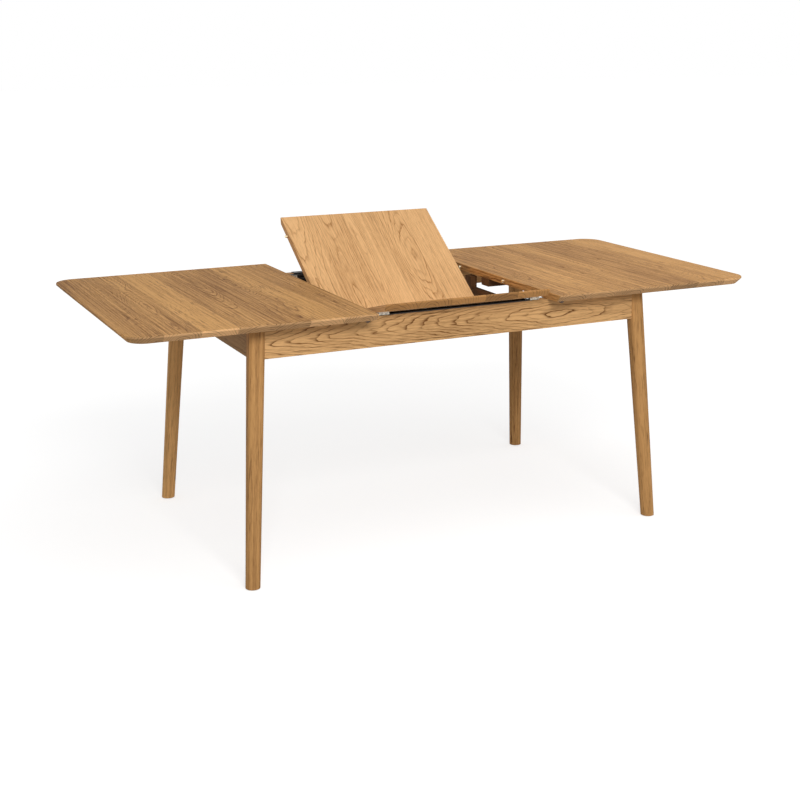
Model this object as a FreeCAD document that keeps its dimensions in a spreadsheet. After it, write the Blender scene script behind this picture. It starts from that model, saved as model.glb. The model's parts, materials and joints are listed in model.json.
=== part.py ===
import FreeCAD, Part
import os
import re
import Sketcher

# Butterfly extension table, stored as in the photo: tops apart, folding leaf open as a V.
# Frame: X along the length, Y to the back, Z up, origin on the floor under the centre. Millimetres.

V = FreeCAD.Vector
doc = FreeCAD.newDocument("butterfly_table")
sheet = doc.addObject("Spreadsheet::Sheet", "Sizes")

SIZES = [
    ("table_height", 750), ("top_thick", 21), ("top_length", 700), ("top_depth", 890),
    ("half_gap", 291), ("corner_round", 62), ("edge_bevel", 16), ("edge_ease", 1.5),
    ("leaf_half", 264), ("leaf_thick", 18), ("leaf_bevel", 13), ("fold_gap", 0.3), ("top_slit", 1.5),
    ("overhang", 71), ("apron_thick", 24), ("apron_tall", 88),
    ("leg_head", 47), ("leg_foot", 41.5), ("leg_head_round", 16), ("leg_inset", 19.6),
    ("leg_splay_x", 52.5), ("leg_splay_y", 60.2),
    ("glide_tall", 2), ("glide_radius", 14),
    ("cross_x", 282), ("cross_thick", 22), ("cross_tall", 46),
    ("post_y", 77), ("post_deep", 38), ("post_rise", 36),
    ("batten_y", 150), ("batten_wide", 45), ("batten_tall", 14), ("felt_thick", 2),
    ("rail_deep", 12), ("rail_tall", 27), ("rail_drop", 1.5), ("rail_half", 555), ("rail_wall", 2),
    ("lip_half", 229), ("lip_reach", 23), ("lip_thick", 2.2), ("lip_root", 5),
    ("rail_ear", 16), ("rail_clear", 20.4), ("runner_left_end", 222), ("runner_right_end", 246),
    ("runner_stop", 5), ("slide_gap", 0.3),
    ("tab_wide", 40), ("tab_inset", 31), ("tab_end", 50), ("tab_reach", 32), ("sheet_thick", 3),
    ("rib_wide", 45), ("rib_tall", 25), ("rib_clear", 39.5),
    ("pin_radius", 4), ("pin_out", 9), ("pin_in", 25), ("pin_fit", 0.02), ("socket_fit", 0.4),
    ("pin_front", 122), ("pin_back", 162), ("leaf_pin_back", 365),
    ("pivot_back", 16), ("pivot_drop", 50), ("pivot_x", 245), ("pivot_radius", 3), ("run_fit", 0.05),
    ("saddle_half", 13), ("saddle_wall", 6), ("saddle_deep", 14), ("saddle_rise", 8), ("saddle_front", 10),
    ("saddle_room", 1), ("arm_half", 4), ("arm_eye", 6), ("arm_back", 8),
    ("plate_half", 16), ("plate_front", 30), ("plate_back", 24), ("plate_screw", 6.5),
    ("tongue_deep", 7), ("tongue_drop", 8),
    ("front_tilt", 15), ("back_tilt", 35.1), ("fold_rise", 0.6),
    ("link_radius", 12), ("link_thick", 7), ("hinge_x", 190),
    ("block_wide", 16), ("block_deep", 26), ("block_tall", 13.5),
    ("lock_inset", 22), ("lock_edge", 27), ("lock_long", 32), ("lock_wide", 16), ("lock_thick", 2.5),
    ("corner_reach", 80), ("corner_thick", 22), ("corner_tall", 36), ("bolt_radius", 4),
    ("screw_radius", 2), ("screw_head", 4.2), ("screw_grip", 10), ("head_thick", 2.4), ("pad_radius", 8),
]

DERIVED = [
    ("under", "table_height - top_thick"), ("leaf_under", "table_height - leaf_thick"),
    ("half_depth", "top_depth / 2"),
    ("apron_y", "half_depth - overhang"), ("leg_head_y", "apron_y - leg_inset"),
    ("leg_head_x", "rail_half + rail_ear + rail_clear + leg_head / 2"),
    ("apron_x", "leg_head_x + leg_inset"),
    ("runner_outer", "rail_half - runner_stop"), ("tab_far", "runner_outer - tab_end"),
    ("tab_near", "half_gap + tab_inset"),
    ("apron_top", "under - top_slit"), ("apron_low", "apron_top - apron_tall"),
    ("inner_y", "apron_y - apron_thick"), ("inner_x", "apron_x - apron_thick"),
    ("rail_top", "apron_top - rail_drop"), ("rail_low", "rail_top - rail_tall"),
    ("rail_y", "inner_y - rail_deep"), ("track_mid", "rail_low + rail_tall / 2"),
    ("cross_top", "apron_low + cross_tall"), ("shelf_top", "apron_low + batten_tall"),
    ("mid_z", "table_height - top_thick / 2"), ("rib_low", "under - rib_tall"),
    ("rib_length", "inner_x - half_gap - rib_clear"),
    ("lip_top", "apron_top + lip_thick"),
    ("pivot_y", "apron_y - pivot_back"), ("pivot_z", "table_height - pivot_drop"),
    ("saddle_low", "pivot_z - saddle_deep"), ("saddle_floor", "pivot_z - saddle_rise"),
    ("fold_z", "table_height + fold_rise"),
    ("front_base_y", "-pivot_y + pivot_y * cos(front_tilt) - pivot_z * sin(front_tilt)"),
    ("front_base_z", "pivot_z - pivot_y * sin(front_tilt) - pivot_z * cos(front_tilt)"),
    ("fold_rest_y", "front_base_y + fold_z * sin(front_tilt)"),
    ("fold_rest_z", "front_base_z + fold_z * cos(front_tilt)"),
    ("back_base_y", "fold_rest_y + fold_z * sin(back_tilt)"),
    ("back_base_z", "fold_rest_z - fold_z * cos(back_tilt)"),
    ("lock_y", "half_depth - lock_edge"), ("lock_x", "half_gap + lock_inset"),
    ("bolt_z", "apron_low + 8 + corner_tall / 2"),
]

NAMES = [name for name, value in SIZES + DERIVED]


def ref(text):
    """Point every size named in the text at its cell of the sheet."""
    return re.sub(r"[a-z]\w*", lambda m: "Sizes." + m.group() if m.group() in NAMES else m.group(), text)


def fill_sheet():
    for row, (name, value) in enumerate(SIZES + DERIVED, start=1):
        cell = "B%d" % row
        sheet.set("A%d" % row, name)
        sheet.set(cell, str(value) if row <= len(SIZES) else "=" + value)
        sheet.setAlias(cell, name)
    doc.recompute()


def bind(obj, **expressions):
    for prop, text in expressions.items():
        obj.setExpression(prop, ref(text))
    return obj


def put(obj, x, y, z):
    for axis, text in zip("xyz", (x, y, z)):
        obj.setExpression("Placement.Base." + axis, ref(text))
    return obj


def block(label, x, y, z):
    """A box from (low, high) texts on each axis."""
    box = doc.addObject("Part::Box", label)
    size = ["(%s) - (%s)" % (span[1], span[0]) for span in (x, y, z)]
    bind(box, Length=size[0], Width=size[1], Height=size[2])
    return put(box, x[0], y[0], z[0])


TURNS = {"x": (V(0, 1, 0), 90), "y": (V(1, 0, 0), -90), "z": (V(0, 0, 1), 0)}


def rod(label, axis, radius, length, x, y, z):
    """A cylinder that starts at a point and runs along +axis."""
    bar = doc.addObject("Part::Cylinder", label)
    turn, angle = TURNS[axis]
    bar.Placement = FreeCAD.Placement(V(), FreeCAD.Rotation(turn, angle))
    bind(bar, Radius=radius, Height=length)
    return put(bar, x, y, z)


def joined(label, kind, pieces):
    whole = doc.addObject(kind, label)
    if kind == "Part::Compound":
        whole.Links = pieces
    else:
        whole.Shapes = pieces
    return whole


def fuse(label, pieces):
    return joined(label, "Part::MultiFuse", pieces)


def group(label, pieces):
    return joined(label, "Part::Compound", pieces)


def cut(label, base, tools):
    result = doc.addObject("Part::Cut", label)
    result.Base = base
    result.Tool = tools[0] if len(tools) == 1 else fuse(label + "_tools", tools)
    return result


def side(sign, low, high):
    """A span on the right (+1) or, mirrored, on the left (-1)."""
    return (low, high) if sign > 0 else ("-(%s)" % high, "-(%s)" % low)


def signed(sign, text):
    return text if sign > 0 else "-(%s)" % text


# A flat leaf piece is turned into its place in the V about X.
POSES = {
    "front": ("-front_tilt", "front_base_y", "front_base_z"),
    "back": ("back_tilt", "back_base_y", "back_base_z"),
}


def pose(obj, half):
    angle, y, z = POSES[half]
    obj.Placement = FreeCAD.Placement(V(), FreeCAD.Rotation(V(1, 0, 0), 1))
    obj.setExpression("Placement.Rotation.Angle", ref(angle))
    return put(obj, "0", y, z)


def line(sketch, start, end):
    return sketch.addGeometry(Part.LineSegment(V(*start, 0), V(*end, 0)), False)


def rectangle(sketch, length, depth):
    """A rectangle from x = 0 to length, centred on y."""
    corners = [(0, -50), (100, -50), (100, 50), (0, 50)]
    for i in range(4):
        line(sketch, corners[i], corners[(i + 1) % 4])
    for i in range(4):
        sketch.addConstraint(Sketcher.Constraint("Coincident", i, 2, (i + 1) % 4, 1))
    for i in (0, 2):
        sketch.addConstraint(Sketcher.Constraint("Horizontal", i))
    for i in (1, 3):
        sketch.addConstraint(Sketcher.Constraint("Vertical", i))
    sketch.addConstraint(Sketcher.Constraint("Symmetric", 0, 1, 2, 2, -1, 1))
    wide = sketch.addConstraint(Sketcher.Constraint("DistanceX", 0, 1, 0, 2, 100))
    deep = sketch.addConstraint(Sketcher.Constraint("DistanceY", 1, 1, 1, 2, 100))
    sketch.setExpression("Constraints[%d]" % wide, ref(length))
    sketch.setExpression("Constraints[%d]" % deep, ref(depth))


def rounded_square(sketch, size, radius):
    """A square with rounded corners, centred on the sketch origin."""
    half, r = 25, 8
    near = half - r
    ends = [((-near, -half), (near, -half)), ((half, -near), (half, near)),
            ((near, half), (-near, half)), ((-half, near), (-half, -near))]
    centres = [(near, -near), (near, near), (-near, near), (-near, -near)]
    quarter = 1.5707963267948966
    for start, end in ends:
        line(sketch, start, end)
    for i, centre in enumerate(centres):
        circle = Part.Circle(V(*centre, 0), V(0, 0, 1), r)
        sketch.addGeometry(Part.ArcOfCircle(circle, (i - 1) * quarter, i * quarter), False)
    for i in range(4):
        sketch.addConstraint(Sketcher.Constraint("Tangent", i, 2, 4 + i, 1))
        sketch.addConstraint(Sketcher.Constraint("Tangent", 4 + i, 2, (i + 1) % 4, 1))
    for i in (0, 2):
        sketch.addConstraint(Sketcher.Constraint("Horizontal", i))
    for i in (1, 3):
        sketch.addConstraint(Sketcher.Constraint("Vertical", i))
    for i in (5, 6, 7):
        sketch.addConstraint(Sketcher.Constraint("Equal", 4, i))
    sketch.addConstraint(Sketcher.Constraint("Symmetric", 0, 1, 2, 1, -1, 1))
    wide = sketch.addConstraint(Sketcher.Constraint("DistanceX", 3, 1, 1, 1, 50))
    deep = sketch.addConstraint(Sketcher.Constraint("DistanceY", 0, 1, 2, 1, 50))
    bend = sketch.addConstraint(Sketcher.Constraint("Radius", 4, 8))
    for index, text in ((wide, size), (deep, size), (bend, radius)):
        sketch.setExpression("Constraints[%d]" % index, ref(text))


def flat_sketch(body, label, x, y, z):
    """A sketch on the body's XY plane, moved to a point."""
    sketch = body.newObject("Sketcher::SketchObject", label)
    sketch.AttachmentSupport = [(body.Origin.OriginFeatures[3], "")]
    sketch.MapMode = "FlatFace"
    for axis, text in zip("xyz", (x, y, z)):
        sketch.setExpression("AttachmentOffset.Base." + axis, ref(text))
    return sketch


def edge_names(shape, test):
    return ["Edge%d" % (i + 1) for i, edge in enumerate(shape.Edges) if test(edge)]


NODES = []


def keep(obj):
    NODES.append(obj)
    return obj


SIDES = (("left", -1), ("right", 1))
ROWS = (("front", -1), ("back", 1))


def leg_spot(sx, sy, z):
    """The leg's centre line at a height, as texts."""
    drop = "(apron_top - (%s)) / apron_top" % z
    x = signed(sx, "leg_head_x + leg_splay_x * " + drop)
    return x, signed(sy, "leg_head_y + leg_splay_y * " + drop)


def leg(name, sx, sy):
    body = doc.addObject("PartDesign::Body", name + "_body")
    sections = []
    for end, z, size, radius in (("head", "apron_top", "leg_head", "leg_head_round"),
                                 ("foot", "glide_tall", "leg_foot", "leg_foot / 2 - 0.6")):
        x, y = leg_spot(sx, sy, z)
        sketch = flat_sketch(body, "%s_%s" % (name, end), x, y, z)
        rounded_square(sketch, size, radius)
        sections.append(sketch)
    loft = body.newObject("PartDesign::AdditiveLoft", name + "_loft")
    loft.Profile = sections[0]
    loft.Sections = [sections[1]]
    loft.Ruled = True
    return body


def bolt_line(label, sx, sy, radius, start, length):
    """A bar along the corner's diagonal, from a distance along it."""
    bar = doc.addObject("Part::Cylinder", label)
    bar.Placement = FreeCAD.Placement(V(), FreeCAD.Rotation(V(0, 0, 1), V(sx, sy, 0)))
    bind(bar, Radius=radius, Height=length)
    return diagonal(bar, sx, sy, start)


def diagonal(obj, sx, sy, along):
    """Put a piece on the corner's diagonal, a distance out from the corner block's outer face."""
    x = "inner_x - corner_reach / 2 + (%s) * 0.70710678" % along
    y = "inner_y - corner_reach / 2 + (%s) * 0.70710678" % along
    return put(obj, signed(sx, x), signed(sy, y), "bolt_z")


def corner_block(label, sx, sy):
    bar = doc.addObject("Part::Box", label + "_bar")
    angle = {(1, 1): 135, (-1, 1): 225, (-1, -1): 315, (1, -1): 45}[(sx, sy)]
    bar.Placement = FreeCAD.Placement(V(), FreeCAD.Rotation(V(0, 0, 1), angle))
    bind(bar, Length="corner_reach * 3", Width="corner_thick", Height="corner_tall")
    ends = {(1, 1): (1, -1), (-1, 1): (1, 1), (-1, -1): (-1, 1), (1, -1): (-1, -1)}[(sx, sy)]
    shift = "corner_reach * 1.5 * 0.70710678"
    x = signed(sx, "inner_x - corner_reach / 2") + " + " + signed(ends[0], shift)
    y = signed(sy, "inner_y - corner_reach / 2") + " + " + signed(ends[1], shift)
    put(bar, x, y, "apron_low + 8")
    room = block(label + "_room", side(sx, "0", "inner_x"), side(sy, "0", "inner_y"),
                 ("apron_low", "apron_top"))
    common = doc.addObject("Part::MultiCommon", label + "_fitted")
    common.Shapes = [bar, room]
    hole = bolt_line(label + "_hole", sx, sy, "bolt_radius + 0.2", "-corner_thick - 1", "corner_thick + 2")
    return cut(label, common, [hole])


def leg_bolt(label, sx, sy):
    shank = bolt_line(label + "_shank", sx, sy, "bolt_radius", "-corner_thick - 12", "corner_thick + 72")
    washer = bolt_line(label + "_washer", sx, sy, "bolt_radius * 2.4", "-corner_thick - 1.5", "1.5")
    nut = doc.addObject("Part::Prism", label + "_nut")
    nut.Polygon = 6
    nut.Placement = FreeCAD.Placement(V(), FreeCAD.Rotation(V(0, 0, 1), V(sx, sy, 0)))
    bind(nut, Circumradius="bolt_radius * 1.85", Height="6.5")
    diagonal(nut, sx, sy, "-corner_thick - 8")
    return fuse(label, [shank, washer, nut])


def build_legs():
    legs, blocks, bolts, glides = {}, [], [], []
    for row, sy in ROWS:
        for hand, sx in SIDES:
            name = "leg_%s_%s" % (row, hand)
            hole = bolt_line(name + "_hole", sx, sy, "bolt_radius + 0.02", "-corner_thick",
                             "corner_thick + 60")
            legs[name] = leg(name, sx, sy)
            keep(cut(name, legs[name], [hole]))
            x, y = leg_spot(sx, sy, "glide_tall")
            glides.append(rod("glide_%s_%s" % (row, hand), "z", "glide_radius", "glide_tall", x, y, "0"))
            blocks.append(corner_block("corner_%s_%s" % (row, hand), sx, sy))
            bolts.append(leg_bolt("bolt_%s_%s" % (row, hand), sx, sy))
    keep(group("foot_glides", glides))
    keep(group("corner_blocks", blocks))
    keep(group("leg_bolts", bolts))
    return legs


def rail_holes(label, sy):
    holes = []
    for hand, sx in SIDES:
        start = "-inner_y - 14" if sy < 0 else "inner_y"
        spot = signed(sx, "rail_half + rail_ear / 2")
        holes.append(rod("%s_%s" % (label, hand), "y", "screw_radius + 0.02", "14", spot, start,
                         "track_mid"))
    return holes


def build_aprons(legs):
    heights = ("apron_low", "apron_top")
    for row, sy in ROWS:
        name = "apron_" + row
        bar = block(name + "_bar", ("-leg_head_x", "leg_head_x"), side(sy, "inner_y", "apron_y"), heights)
        tools = [legs["leg_%s_left" % row], legs["leg_%s_right" % row]] + rail_holes(name + "_screw", sy)
        if sy < 0:
            tools += [tool for hand, sx in SIDES for tool in pivot_pocket("pivot_pocket_" + hand, sx)]
        keep(cut(name, bar, tools))
    for hand, sx in SIDES:
        name = "apron_" + hand
        bar = block(name + "_bar", side(sx, "inner_x", "apron_x"), ("-leg_head_y", "leg_head_y"), heights)
        keep(cut(name, bar, [legs["leg_front_" + hand], legs["leg_back_" + hand]]))


def pivot_pocket(label, sx):
    """The notch in the front apron that a saddle sits in, and the hole for its screw."""
    reach = "saddle_half + saddle_room"
    notch = block(label, side(sx, "pivot_x - " + reach.replace("+", "-"), "pivot_x + " + reach),
                  ("-pivot_y - saddle_front - saddle_room", "-inner_y + 1"), ("saddle_low", "apron_top + 1"))
    hole = rod(label + "_hole", "z", "screw_radius + 0.02", "screw_grip + 1.2", signed(sx, "pivot_x"),
               "-pivot_y", "saddle_low - screw_grip - 0.2")
    return [notch, hole]


def build_well():
    posts = []
    for hand, sx in SIDES:
        x = side(sx, "cross_x", "cross_x + cross_thick")
        keep(block("cross_rail_" + hand, x, ("-inner_y", "inner_y"), ("apron_low", "cross_top")))
        posts.append(block("leaf_post_" + hand, x, ("post_y", "post_y + post_deep"),
                           ("cross_top", "cross_top + post_rise")))
    keep(group("leaf_posts", posts))
    strips = []
    for row, sy in ROWS:
        y = side(sy, "batten_y - batten_wide / 2", "batten_y + batten_wide / 2")
        keep(block("storage_batten_" + row, ("-cross_x", "cross_x"), y, ("apron_low", "shelf_top")))
        pad = side(sy, "batten_y - batten_wide / 4", "batten_y + batten_wide / 4")
        strips.append(block("felt_strip_" + row, ("-leaf_half + 20", "leaf_half - 20"), pad,
                            ("shelf_top", "shelf_top + felt_thick")))
    keep(group("felt_strips", strips))


# The left runner keeps to the upper track of each rail and the right one to the lower, so they can pass.
TRACKS = {
    -1: ("track_mid + rail_wall / 2", "rail_top - rail_wall"),
    1: ("rail_low + rail_wall", "track_mid - rail_wall / 2"),
}


def build_rails():
    screws = []
    for row, sy in ROWS:
        name = "slide_rail_" + row
        bar = block(name + "_bar", ("-rail_half", "rail_half"), side(sy, "rail_y", "inner_y"),
                    ("rail_low", "rail_top"))
        ears = block(name + "_ears", ("-rail_half - rail_ear", "rail_half + rail_ear"),
                     side(sy, "inner_y - rail_wall", "inner_y"), ("rail_low", "rail_top"))
        lip = block(name + "_lip", ("-lip_half", "lip_half"),
                    side(sy, "inner_y - rail_wall", "inner_y + lip_reach"), ("apron_top", "lip_top"))
        root = block(name + "_root", ("-lip_half", "lip_half"), side(sy, "inner_y - rail_wall", "inner_y"),
                     ("apron_top - lip_root", "apron_top"))
        tracks = [block("%s_track_%s" % (name, hand), ("-rail_half - 1", "rail_half + 1"),
                        side(sy, "rail_y - 1", "inner_y - rail_wall"), TRACKS[sx]) for hand, sx in SIDES]
        holes = []
        for hand, sx in SIDES:
            spot = signed(sx, "rail_half + rail_ear / 2")
            start = "-inner_y - 1" if sy < 0 else "inner_y - rail_wall - 1"
            holes.append(rod("%s_hole_%s" % (name, hand), "y", "screw_radius + 0.02", "rail_wall + 2",
                             spot, start, "track_mid"))
            screws.append(rail_screw("rail_screw_%s_%s" % (row, hand), sy, spot))
        keep(cut(name, fuse(name + "_solid", [bar, ears, lip, root]), tracks + holes))
    keep(group("rail_screws", screws))


def rail_screw(label, sy, spot):
    inner = "-inner_y + rail_wall" if sy < 0 else "inner_y - rail_wall - head_thick"
    head = rod(label + "_head", "y", "screw_head", "head_thick", spot, inner, "track_mid")
    start = "-inner_y - 12" if sy < 0 else "inner_y - rail_wall"
    shank = rod(label + "_shank", "y", "screw_radius", "12 + rail_wall", spot, start, "track_mid")
    return fuse(label, [head, shank])


def saddle(name, sx):
    """A bracket open at the top, so the leaf can be lifted out of it."""
    y = ("-pivot_y - saddle_front", "-inner_y")
    low, high = "pivot_x - saddle_half", "pivot_x + saddle_half"
    base = block(name + "_base", side(sx, low, high), y, ("saddle_low", "saddle_floor"))
    walls = (("near", low, low + " + saddle_wall"), ("far", high + " - saddle_wall", high))
    cheeks = [block("%s_cheek_%s" % (name, tag), side(sx, start, end), y,
                    ("saddle_low", "pivot_z + saddle_rise")) for tag, start, end in walls]
    wide = side(sx, low + " - 1", high + " + 1")
    room = "pivot_radius + run_fit"
    seat = rod(name + "_seat", "x", room, "saddle_half * 2 + 2", wide[0], "-pivot_y", "pivot_z")
    mouth = block(name + "_mouth", wide, ("-pivot_y - " + room.replace("+", "-"), "-pivot_y + " + room),
                  ("pivot_z", "pivot_z + saddle_rise + 1"))
    hole = rod(name + "_hole", "z", "screw_radius + 0.02", "saddle_deep", signed(sx, "pivot_x"),
               "-pivot_y", "saddle_low - 1")
    return cut(name, fuse(name + "_solid", [base] + cheeks), [seat, mouth, hole])


def saddle_screw(name, sx):
    x = signed(sx, "pivot_x")
    head = rod(name + "_head", "z", "screw_head - 0.7", "1", x, "-pivot_y", "saddle_floor")
    shank = rod(name + "_shank", "z", "screw_radius", "saddle_deep - saddle_rise + screw_grip", x,
                "-pivot_y", "saddle_low - screw_grip")
    return fuse(name, [head, shank])


def build_pivots():
    keep(group("pivot_saddles", [saddle("saddle_" + hand, sx) for hand, sx in SIDES]))
    keep(group("saddle_screws", [saddle_screw("saddle_screw_" + hand, sx) for hand, sx in SIDES]))


def slab(name, turn, spot, length, depth, thick):
    """A flat body up to the table's height, to be trimmed; its pad is the first feature."""
    body = doc.addObject("PartDesign::Body", name + "_body")
    body.Placement = FreeCAD.Placement(V(), FreeCAD.Rotation(V(0, 0, 1), turn))
    put(body, spot[0], spot[1], "table_height - " + thick)
    sketch = flat_sketch(body, name + "_outline", "0", "0", "0")
    rectangle(sketch, length, depth)
    pad = body.newObject("PartDesign::Pad", name + "_pad")
    pad.Profile = sketch
    bind(pad, Length=thick)
    body.Tip = pad
    doc.recompute()
    return body


def trim(body, kind, label, test, **size):
    """A fillet or chamfer on the edges of the body's last feature that pass a test."""
    last = body.Tip
    edges = edge_names(last.Shape, test)
    feature = body.newObject("PartDesign::" + kind, label)
    feature.Base = (last, edges)
    bind(feature, **size)
    body.Tip = feature
    doc.recompute()
    return body


def upper(edge, body):
    return edge.BoundBox.ZMin > body.Tip.Shape.BoundBox.ZMax - 0.01


def panel(name, sx):
    """A top with rounded outer corners, the under-bevel on its free edges and eased upper edges."""
    body = slab(name, 0 if sx > 0 else 180, (signed(sx, "half_gap"), "0"), "top_length", "top_depth",
                "top_thick")
    trim(body, "Fillet", name + "_corners", lambda e: e.BoundBox.ZLength > 1 and e.BoundBox.XMin > 1,
         Radius="corner_round")
    trim(body, "Chamfer", name + "_bevel", lambda e: e.BoundBox.ZMax < 0.01 and e.BoundBox.XMax > 1,
         Size="edge_bevel")
    return trim(body, "Fillet", name + "_ease", lambda e: upper(e, body), Radius="edge_ease")


def leaf_slab(name, sy):
    """A leaf half, bevelled below its outer edge and eased above, but crisp along the fold."""
    spot = ("-leaf_half", signed(sy, "(half_depth + fold_gap) / 2"))
    body = slab(name, 0, spot, "leaf_half * 2", "half_depth - fold_gap", "leaf_thick")
    trim(body, "Chamfer", name + "_bevel", lambda e: e.BoundBox.ZMax < 0.01 and outer(e, sy),
         Size="leaf_bevel")
    return trim(body, "Fillet", name + "_ease", lambda e: upper(e, body) and not outer(e, -sy),
                Radius="edge_ease")


def outer(edge, sy):
    """Whether the edge lies wholly along the front (-1) or back (+1) of a slab."""
    low, high = edge.BoundBox.YMin * sy, edge.BoundBox.YMax * sy
    return min(low, high) > 1 and edge.BoundBox.YLength < 0.01


# The right top and the leaf's left side carry pins; the leaf's right side and the left top take them.
TOP_PINS = ("-pin_front", "pin_back")
TOP_SOCKETS = ("-pin_front", "pin_back", "leaf_pin_back")
LEAF_SOCKETS = {-1: "-pin_front", 1: "pin_back"}
LEAF_PINS = {-1: "-pin_front", 1: "leaf_pin_back"}


def edge_bores(label, sx, edge, ys, radius, depth):
    """Bores into an edge that faces the leaf, from the edge outwards."""
    bores = []
    for i, y in enumerate(ys):
        start = signed(sx, edge) if sx > 0 else "-(%s) - (%s)" % (edge, depth)
        bores.append(rod("%s_%d" % (label, i), "x", radius, depth, start, y, "mid_z"))
    return bores


def runner(name, hand, sx, sy):
    """A bar in the rail's track with two tabs up to the top."""
    low, high = TRACKS[sx]
    inner_end = "runner_%s_end" % hand
    z = (low + " + slide_gap", high + " - slide_gap")
    bar = block(name + "_bar", side(sx, inner_end, "runner_outer"),
                side(sy, "rail_y - 0.5", "inner_y - rail_wall - slide_gap"), z)
    pieces = [bar]
    for tag, start in (("near", "tab_near"), ("far", "tab_far")):
        x = side(sx, start, start + " + tab_wide")
        web = block("%s_web_%s" % (name, tag), x, side(sy, "rail_y - 0.5 - sheet_thick", "rail_y - 0.5"),
                    (z[0], "under"))
        foot = block("%s_foot_%s" % (name, tag), x, side(sy, "rail_y - 0.5 - tab_reach", "rail_y - 0.5"),
                     ("under - sheet_thick", "under"))
        pieces += [web, foot]
    bores = tab_bores(name + "_bore", sx, sy, "0.02", "sheet_thick + 2")
    return cut(name, fuse(name + "_solid", pieces), bores)


def tab_spots(sx, sy):
    for tag, start in (("near", "tab_near"), ("far", "tab_far")):
        for end, share in (("inner", "0.25"), ("outer", "0.75")):
            x = signed(sx, "%s + tab_wide * %s" % (start, share))
            y = signed(sy, "rail_y - 0.5 - tab_reach * 0.6")
            yield tag + "_" + end, x, y


def tab_bores(label, sx, sy, room, depth):
    radius = "screw_radius + " + room
    return [rod("%s_%s" % (label, tag), "z", radius, depth, x, y, "under - sheet_thick - 1")
            for tag, x, y in tab_spots(sx, sy)]


def tab_screws(label, sx):
    screws = []
    for row, sy in ROWS:
        for tag, x, y in tab_spots(sx, sy):
            name = "%s_%s_%s" % (label, row, tag)
            low = "under - sheet_thick"
            head = rod(name + "_head", "z", "screw_head", "head_thick", x, y, low + " - head_thick")
            shank = rod(name + "_shank", "z", "screw_radius", "sheet_thick + 14", x, y, low)
            screws.append(fuse(name, [head, shank]))
    return group(label, screws)


RIB_SCREWS = ("0.12", "0.5", "0.88")


def rib(name, sx):
    bar = block(name + "_bar", side(sx, "half_gap", "half_gap + rib_length"),
                ("-rib_wide / 2", "rib_wide / 2"), ("rib_low", "under"))
    return cut(name, bar, rib_bores(name + "_bore", sx, "rib_low - 1", "rib_tall + 2", "screw_radius + 0.02")
               + rib_bores(name + "_sink", sx, "rib_low - 1", "head_thick + 1.6", "screw_head + 0.02"))


def rib_bores(label, sx, z, depth, radius):
    spots = [signed(sx, "half_gap + rib_length * " + share) for share in RIB_SCREWS]
    return [rod("%s_%d" % (label, i), "z", radius, depth, x, "0", z) for i, x in enumerate(spots)]


def rib_screws(label, sx):
    heads = rib_bores(label + "_head", sx, "rib_low + 0.6", "head_thick", "screw_head")
    shanks = rib_bores(label + "_shank", sx, "rib_low + 0.6 + head_thick",
                       "rib_tall - 0.6 - head_thick + screw_grip", "screw_radius")
    return group(label, [fuse("%s_%d" % (label, i), [h, s]) for i, (h, s) in enumerate(zip(heads, shanks))])


def lock_spots(sx):
    for row, sy in ROWS:
        yield row, sy, signed(sx, "lock_x"), signed(sy, "lock_y")


def swivel_lock(name, sx, sy, x, y):
    """A flat lever that turns on a rivet under the top's inner corner."""
    z = ("under - 1 - lock_thick", "under - 1")
    bar = block(name + "_bar", (x + " - lock_wide / 2", x + " + lock_wide / 2"),
                side(sy, "lock_y - lock_long", "lock_y"), z)
    ends = [rod("%s_end_%d" % (name, i), "z", "lock_wide / 2", "lock_thick", x, at, z[0])
            for i, at in enumerate((y, signed(sy, "lock_y - lock_long")))]
    hole = rod(name + "_hole", "z", "3 + run_fit", "lock_thick + 2", x, y, z[0] + " - 1")
    return cut(name, fuse(name + "_solid", [bar] + ends), [hole])


def lock_rivets(label, sx):
    rivets = []
    for row, sy, x, y in lock_spots(sx):
        name = "%s_%s" % (label, row)
        head = rod(name + "_head", "z", "5.5", "1.5", x, y, "under - lock_thick - 2.8")
        shank = rod(name + "_shank", "z", "3", "lock_thick + 1.3 + 12", x, y, "under - lock_thick - 1.3")
        washer = rod(name + "_washer", "z", "5.5", "0.8", x, y, "under - 0.8")
        rivets.append(fuse(name, [head, shank, washer]))
    return group(label, rivets)


def align_pin(label, start, y):
    return rod(label, "x", "pin_radius", "pin_out + pin_in", start, y, "mid_z")


def build_top(hand, sx):
    name = "top_" + hand
    if sx > 0:
        tools = edge_bores(name + "_bore", sx, "half_gap", TOP_PINS, "pin_radius + pin_fit", "pin_in + 1")
    else:
        tools = edge_bores(name + "_socket", sx, "half_gap", TOP_SOCKETS, "pin_radius + socket_fit",
                           "pin_out + 3")
    for row, sy in ROWS:
        tools += tab_bores("%s_tab_bore_%s" % (name, row), sx, sy, "0.02", "sheet_thick + 1 + 14.2")
    tools += rib_bores(name + "_rib_bore", sx, "under - 1", "screw_grip + 1.2", "screw_radius + 0.02")
    tools += [rod("%s_rivet_bore_%s" % (name, row), "z", "3.02", "13.2", x, y, "under - 1")
              for row, sy, x, y in lock_spots(sx)]
    keep(cut(name, panel(name, sx), tools))
    for row, sy in ROWS:
        keep(runner("runner_%s_%s" % (hand, row), hand, sx, sy))
    keep(tab_screws("tab_screws_" + hand, sx))
    keep(rib("top_rib_" + hand, sx))
    keep(rib_screws("rib_screws_" + hand, sx))
    if sx > 0:
        keep(group("align_pins_right", [align_pin("align_pin_%d" % i, "half_gap - pin_out", y)
                                        for i, y in enumerate(TOP_PINS)]))
    keep(lock_rivets("lock_rivets_" + hand, sx))
    for row, sy, x, y in lock_spots(sx):
        keep(swivel_lock("leaf_lock_%s_%s" % (hand, row), sx, sy, x, y))


HINGES = ("-hinge_x", "0", "hinge_x")


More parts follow.
